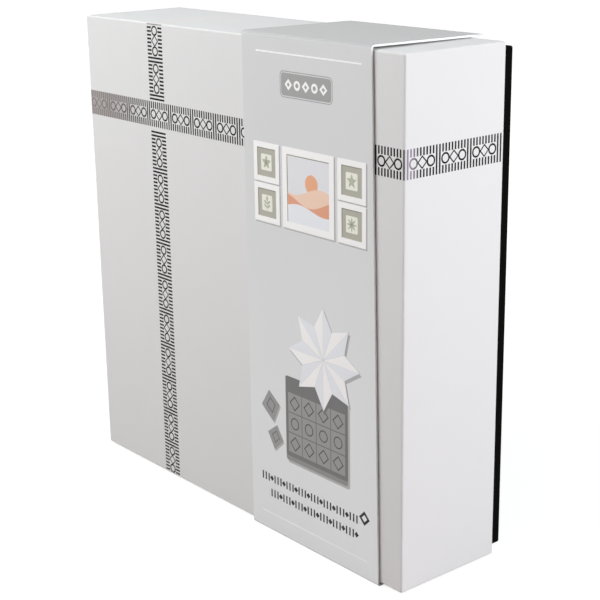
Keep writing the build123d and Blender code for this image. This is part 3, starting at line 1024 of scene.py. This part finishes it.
def stitch_tree(material):
    """A row of upright bars with a diamond after every third one."""
    lengths = ("Pitch", "Bar Width", "Bar Height", "Radius", "Thickness")
    tree = Repeat("stitches", lengths, ("Count", "Group"))
    row = tree.row(tree.size("Count"), 0.0, tree.size("Pitch"))
    thickness = tree.size("Thickness")
    last = (tree.index % tree.size("Group")) > (tree.size("Group") - 1.5)
    bar = tree.slab(tree.size("Bar Width"), tree.size("Bar Height"), thickness)
    diamond = tree.tile(4, tree.size("Radius"), thickness)
    tree.close([tree.copies(row, bar, 1 - last), tree.copies(row, diamond, last)], material)
    return tree


def stitched_lines(inks):
    """Two ornamental lines where the wrap has its caption."""
    tree = stitch_tree(inks["black"])
    sizes = {
        "Pitch": 2.95 * mm,
        "Bar Width": 1.2 * mm,
        "Bar Height": 5.2 * mm,
        "Radius": 1.9 * mm,
        "Thickness": print_height,
        "Group": 4,
    }
    for name, count, u, v in stitch_lines:
        mesh = tree.mesh({**sizes, "Count": count})
        wrap_piece(f"stitches_{name}", mesh, inks["black"], u, v, print_height / 2)
    diamond = [ring_loop(*stitch_end, radius, count=4) for radius in (4.6, 2.4)]
    wrap_print("stitches_end", diamond, inks["black"])


def keepsake_ornaments(ink):
    """A plain outlined figure on each small lid."""
    line = 1.4
    capsule, plate = (-34, -13, 34, 13), (-30, -14, 30, 14)  # in millimetres from the lid's middle
    figures = {
        "small_1": [ring_loop(0, 0, radius, count=48) for radius in (15, 13.6)],
        "small_2": [ring_loop(0, 0, radius, count=4) for radius in (17, 15)],
        "small_3": [ring_loop(0, 0, radius, count=6) for radius in (16, 14.4)],
        "long_1": [rounded_box(inset(capsule, margin), radius=13 - margin) for margin in (0, line)],
        "long_2": [ring_loop(0, 0, tip, count=8, inner=notch) for tip, notch in ((17, 11), (14.7, 9.5))],
        "long_3": [rounded_box(inset(plate, margin), radius=4 - margin) for margin in (0, line)],
    }
    for name, loops in figures.items():
        lid_name = f"keepsake_lid_{name}"
        low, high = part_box(lid_name)
        mesh = flat_mesh(f"figure_{name}", loops, 0)
        onto_front(mesh, ((low.x + high.x) / 2, low.y, (low.z + high.z) / 2))
        piece(f"figure_{name}", mesh, ink, lid_name)


def soft_join(first, second, reach):
    """The smaller of two distances, blended where they are close."""
    share = np.clip(0.5 + 0.5 * (second - first) / reach, 0, 1)
    return second * (1 - share) + first * share - reach * share * (1 - share)


def to_line(x, y, a, b):
    """Distance to the line from a to b, and the share of its length."""
    dx, dy = b[0] - a[0], b[1] - a[1]
    share = np.clip(((x - a[0]) * dx + (y - a[1]) * dy) / (dx * dx + dy * dy), 0, 1)
    return np.hypot(x - a[0] - dx * share, y - a[1] - dy * share), share


def gentle_step(value, start, end):
    share = np.clip((value - start) / (end - start), 0, 1)
    return share * share * (3 - 2 * share)


def swelling(distance, width):
    """One at a distance of zero, fading like a bell over a width."""
    return np.exp(-((distance / width) ** 2))


def raised_lip(shape):
    """Clay pushed up round an impression."""
    return lip_height * swelling(shape - lip_out, lip_width)


def hand_depth(x, y):
    """Depth of a pressed hand in millimetres: palm, four fingers and thumb, with ridges where skin folds."""
    from_side = np.abs(x) - (palm_width / 2 - palm_radius)
    from_end = np.abs(y + palm_height / 2) - (palm_height / 2 - palm_radius)
    beyond = np.hypot(np.maximum(from_side, 0), np.maximum(from_end, 0))
    shape = beyond + np.minimum(np.maximum(from_side, from_end), 0) - palm_radius
    ridges = np.zeros_like(x)
    tips = np.zeros_like(x)
    digits = [(place * palm_width, -digit_radius, length, turn) for place, length, turn in fingers]
    digits.append((palm_width / 2 - digit_radius, -palm_height / 2, thumb_length, thumb_turn))
    joint_shares, joint_width_share, web = (0.36, 0.68), 0.035, 1.4
    for u, v, length, turn in digits:
        angle = math.radians(turn)
        ahead = (-math.sin(angle), math.cos(angle))
        root = (u + ahead[0] * digit_radius, v + ahead[1] * digit_radius)
        tip = (u + ahead[0] * (length - digit_radius), v + ahead[1] * (length - digit_radius))
        away, share = to_line(x, y, root, tip)
        waist = 0.25 * np.cos(share * 4 * math.pi)
        shape = soft_join(shape, away - digit_radius - waist, web)
        for joint in joint_shares:
            ridges += (away < digit_radius) * 0.22 * swelling(share - joint, joint_width_share)
        tips = np.maximum(tips, swelling(np.hypot(x - tip[0], y - tip[1]), 2.2))
    depth = hand_print_depth * (1 - gentle_step(shape, slope_foot, slope_top))
    hollow = 0.4 * swelling(np.hypot(x * 0.9, y + 8.5), 5.5)  # where a palm presses less
    creases = ((9.5, -1.0, 11.5), (-7.5, -12.0, 12.5), (7.0, -17.5, 11.0))  # arcs: middle and radius
    for u, v, radius in creases:
        ridges += 0.2 * swelling(np.hypot(x - u, y - v) - radius, 0.4) * (shape < -1.2)
    return depth * (1 + 0.2 * tips) - hollow - ridges - raised_lip(shape)


def foot_depth(x, y):
    """Depth of a pressed foot in millimetres: heel, arch, ball and five toes."""
    ball_y, heel_y = foot_length / 2 - ball_radius, heel_radius - foot_length / 2
    flare = ball_radius - heel_radius
    slope = flare / (ball_y - heel_y)
    away, share = to_line(x, y, (0, heel_y), (0, ball_y))
    shape = (away - heel_radius - flare * share) * math.sqrt(1 - slope * slope)
    arch = 9.0 - np.hypot(x + 15.5, (y + 1.5) * 0.75)  # above zero where the arch is cut away
    shape = -soft_join(-shape, -arch, reach=3.0)
    for radius, turn in toes:
        angle, reach = math.radians(turn), ball_radius + toe_gap + radius
        u, v = -math.sin(angle) * reach, ball_y + math.cos(angle) * reach
        shape = soft_join(shape, np.hypot(x - u, y - v) - radius, reach=0.7)
    depth = foot_print_depth * (1 - gentle_step(shape, sole_slope_foot, slope_top))
    arch_rise = 0.45 * swelling(np.hypot((x + 3) / 5.0, (y + 2) / 8.0), 1.0)
    crease = 0.12 * swelling(y - 9.5 - 0.05 * x * x + 0.3 * x, 0.5) * (shape < -2)
    return depth - arch_rise - crease - raised_lip(shape)


def casting_front(width, height, impression, columns=96, rows=140):
    """A plaque's front as rows of places in millimetres: a rounded box, hand cut, with its impression."""
    s, t = np.meshgrid(np.linspace(-1, 1, columns), np.linspace(-1, 1, rows))
    level = np.maximum(np.abs(s), np.abs(t))
    x, y = s * width / 2, t * height / 2
    radius = plaque_corner_radius * level
    beyond_x = np.abs(x) - (level * width / 2 - radius)
    beyond_y = np.abs(y) - (level * height / 2 - radius)
    in_corner = (beyond_x > 0) & (beyond_y > 0)
    shrink = np.where(in_corner, radius / np.maximum(np.hypot(beyond_x, beyond_y), 1e-9), 1.0)
    x = np.where(in_corner, np.sign(x) * (np.abs(x) - beyond_x * (1 - shrink)), x)
    y = np.where(in_corner, np.sign(y) * (np.abs(y) - beyond_y * (1 - shrink)), y)
    angle = np.arctan2(y, x)
    uneven = 0.5 + 0.3 * np.sin(5 * angle + 1) + 0.2 * np.sin(11 * angle)
    waver = 1 - 0.008 * level ** 2 * uneven
    x, y = x * waver, y * waver
    from_edge = (1 - level) * np.minimum(width, height) / 2
    short = np.clip(plaque_edge_radius - from_edge, 0, plaque_edge_radius)
    rounding = plaque_edge_radius - np.sqrt(plaque_edge_radius ** 2 - short ** 2)
    plain_rim = 2.0
    depth = impression(x, y) * gentle_step(from_edge, 0, plain_rim) + rounding + lip_height
    return np.stack([x, y, -depth], axis=2)


def closed_mesh(name, front, thickness):
    """A mesh of rows of places, with walls and a flat back at this thickness. All in millimetres."""
    rows, columns, _ = front.shape
    index = np.arange(rows * columns).reshape(rows, columns)
    faces = [
        (index[j, i], index[j, i + 1], index[j + 1, i + 1], index[j + 1, i])
        for j in range(rows - 1)
        for i in range(columns - 1)
    ]
    front = front.reshape(-1, 3)
    rim = list(index[0, :-1]) + list(index[:-1, -1]) + list(index[-1, :0:-1]) + list(index[:0:-1, 0])
    back = front[rim].copy()
    back[:, 2] = -thickness
    first, count = len(front), len(rim)
    faces += [(rim[k], first + k, first + (k + 1) % count, rim[(k + 1) % count]) for k in range(count)]
    faces.append(tuple(first + k for k in reversed(range(count))))
    places = np.concatenate([front, back]) * mm
    mesh = bpy.data.meshes.new(name)
    mesh.from_pydata(places.tolist(), [], [tuple(int(v) for v in face) for face in faces])
    mesh.shade_smooth()
    return mesh


def plaque(name, node, body, impression, material):
    """A cast plaque with rounded edges, in its node's place and facing the back of the closed set."""
    low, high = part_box(node)
    front = casting_front((high.x - low.x) / mm, (high.z - low.z) / mm, impression)
    mesh = closed_mesh(name, front, (high.y - low.y) / mm)
    middle = ((low.x + high.x) / 2, high.y, (low.z + high.z) / 2)
    onto_face(mesh, middle, across=(-1, 0, 0), up=(0, 0, 1), out=(0, 1, 0))
    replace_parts(piece(name, mesh, material, body), node)


def float_pane(material):
    """The middle panel's pane, a hair thinner than its node, so that it isn't in the photo's own face."""
    low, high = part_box("centre_pane")
    hair = 0.05 * mm
    back_y = high.y - hair
    places = [(x, y, z) for x in (low.x, high.x) for y in (low.y, back_y) for z in (low.z, high.z)]
    faces = [(0, 1, 3, 2), (4, 6, 7, 5), (0, 4, 5, 1), (2, 3, 7, 6), (0, 2, 6, 4), (1, 5, 7, 3)]
    mesh = bpy.data.meshes.new("float_pane")
    mesh.from_pydata(places, [], faces)
    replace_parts(piece("float_pane", mesh, material, "frame_centre"), "centre_pane")


def dress(names, material):
    """Gives nodes their finish."""
    for name in names:
        if not nodes[name].material_slots:
            nodes[name].data.materials.append(material)
        for slot in nodes[name].material_slots:
            slot.material = material


def dress_nodes():
    panels = ("centre", "left", "right")
    dress(["lid"], white_lid_paper())
    dress(["base_tray"], black_base_paper())
    dress(["card_wrap"], grey_wrap_card())
    dress([name for name in nodes if name.startswith("keepsake_")], grey_box_paper())
    dress([f"{panel}_moulding" for panel in panels], white_moulding_paint())
    dress(["centre_photo"], photo_paper())
    dress(["left_mat", "right_mat"], taupe_mat_board())
    dress([f"{panel}_backboard" for panel in panels], hardboard())
    dress([f"{panel}_tabs" for panel in panels], steel())
    dress([name for name in nodes if "hinge" in name or "screws" in name], bronze())


def make_inks():
    tones = {
        "white": (255, 255, 254),
        "cream": (243, 243, 232),
        "taupe": (184, 182, 170),
        "deep taupe": (138, 134, 122),
        "sage": (190, 194, 172),
        "sky": (233, 234, 238),
        "pale blue": (240, 243, 248),
        "peach": (240, 178, 140),
        "blush": (246, 214, 192),
        "rose": (232, 168, 138),
        "light grey": (214, 215, 218),
        "tile grey": (158, 158, 158),
        "mid grey": (156, 156, 156),
        "plate grey": (166, 166, 166),
        "shadow grey": (188, 188, 188),
        "panel edge": (148, 148, 148),
        "dark grey": (122, 122, 122),
        "deep grey": (88, 88, 88),
        "black": (22, 22, 22),
    }
    return {name: print_ink(f"{name.replace(' ', '_')}_ink", tone(*rgb)) for name, rgb in tones.items()}


def pale_floor():
    """A pale floor, seen white by the camera and in reflections, that still takes the set's shadow."""
    finish = Finish("pale_floor", {"Roughness": 0.9})
    finish.colour(finish.shade(tone(145, 126, 124), 1 + finish.noise(0.2) * 0.02))
    near_glow, far_glow, near, far = 0.8, 1.0, 0.3, 1.2
    distance = (finish.x * finish.x + finish.y * finish.y).root()
    strength = near_glow + distance.rise(near, far) * (far_glow - near_glow)
    glow = finish.node("ShaderNodeEmission", {}, {"Color": (1, 1, 1, 1), "Strength": strength}).outputs[0]
    shadowed = finish.node("ShaderNodeBsdfDiffuse", {}, {"Color": (0.4, 0.4, 0.4, 1)}).outputs[0]
    shown = finish.node("ShaderNodeAddShader", {}, {0: glow, 1: shadowed}).outputs[0]
    finish.blend_shaders(finish.seen_or_mirrored(), finish.shader.outputs[0], shown)
    return finish.material


def stage_floor():
    half, z = 9.0, -0.05 * mm  # metres either way from the middle, and a hair under the set
    mesh = bpy.data.meshes.new("floor")
    places = [(-half, -half, z), (half, -half, z), (half, half, z), (-half, half, z)]
    mesh.from_pydata(places, [], [(0, 1, 2, 3)])
    mesh.materials.append(pale_floor())
    floor = bpy.data.objects.new("floor", mesh)
    bpy.context.scene.collection.objects.link(floor)


def world_light():
    """An even white surround, lighting the set softly and showing white to the camera."""
    world = bpy.data.worlds.new("surround")
    world.use_nodes = True
    surround = Tree(world.node_tree)
    world.node_tree.nodes.clear()
    share = surround.seen_or_mirrored()
    inputs = {"Color": (1, 1, 1, 1), "Strength": share + (1 - share) * surround_strength}
    background = surround.node("ShaderNodeBackground", {}, inputs)
    surround.node("ShaderNodeOutputWorld", {}, {"Surface": background.outputs[0]})
    bpy.context.scene.world = world


def softbox(name, place, size, power, colour):
    """A soft rectangular lamp, aimed at the middle of the set. Its power is in watts."""
    light = bpy.data.lights.new(name, "AREA")
    light.shape = "RECTANGLE"
    light.size, light.size_y = size
    light.energy = power
    light.color = colour
    lamp = bpy.data.objects.new(name, light)
    lamp.location = place
    lamp.rotation_euler = (Vector(lamps_aim) - Vector(place)).to_track_quat("-Z", "Y").to_euler()
    lamp.visible_camera = False
    bpy.context.scene.collection.objects.link(lamp)


def lights():
    neutral, cool, cooler = (1, 1, 1), (0.97, 1.0, 1.0), (0.94, 0.97, 1.0)
    world_light()
    softbox("right_softbox", place=(1.3, 0.45, 0.55), size=(0.9, 0.6), power=15.1, colour=cooler)
    softbox("front_softbox", place=(-1.0, -1.5, 0.95), size=(1.0, 0.8), power=9.3, colour=cool)
    softbox("left_softbox", place=(-1.3, -0.8, 1.3), size=(1.2, 1.2), power=7.4, colour=cool)
    softbox("near_front_softbox", place=(-0.3, -0.7, 0.9), size=(0.8, 0.5), power=6.6, colour=cool)
    softbox("near_right_softbox", place=(0.9, 0.0, 0.9), size=(0.5, 0.8), power=2.2, colour=neutral)


def photo_camera():
    """The photograph's view."""
    azimuth, elevation, roll = (math.radians(a) for a in (camera_azimuth, camera_elevation, camera_roll))
    flat = math.cos(elevation)
    ahead = Vector((-math.sin(azimuth) * flat, math.cos(azimuth) * flat, -math.sin(elevation)))
    level = Vector((math.cos(azimuth), math.sin(azimuth), 0))
    upright = level.cross(ahead)
    right = level * math.cos(roll) + upright * math.sin(roll)
    up = upright * math.cos(roll) - level * math.sin(roll)
    data = bpy.data.cameras.new("photo_camera")
    data.sensor_width = sensor_width
    data.lens = camera_lens
    data.clip_end = 60.0
    camera = bpy.data.objects.new("photo_camera", data)
    turn = Matrix((right, up, -ahead)).transposed()
    camera.matrix_world = Matrix.Translation(camera_place) @ turn.to_4x4()
    bpy.context.scene.collection.objects.link(camera)
    bpy.context.scene.camera = camera


card_inks = make_inks()
dress_nodes()
lid_bands(band_ink())
wrap_rules_and_plate(card_inks)
gallery(card_inks)
tall_picture(card_inks)
folded_star(card_inks)
patchwork(card_inks)
loose_tiles(card_inks)
stitched_lines(card_inks)
keepsake_ornaments(card_inks["deep grey"])
float_pane(clear_pane())
clay = cast_clay()
plaque("hand_casting", "hand_plaque", "left_wing", hand_depth, clay)
plaque("foot_casting", "foot_plaque", "right_wing", foot_depth, clay)
stage_floor()
lights()
photo_camera()
bpy.context.scene.view_settings.view_transform = "Standard"
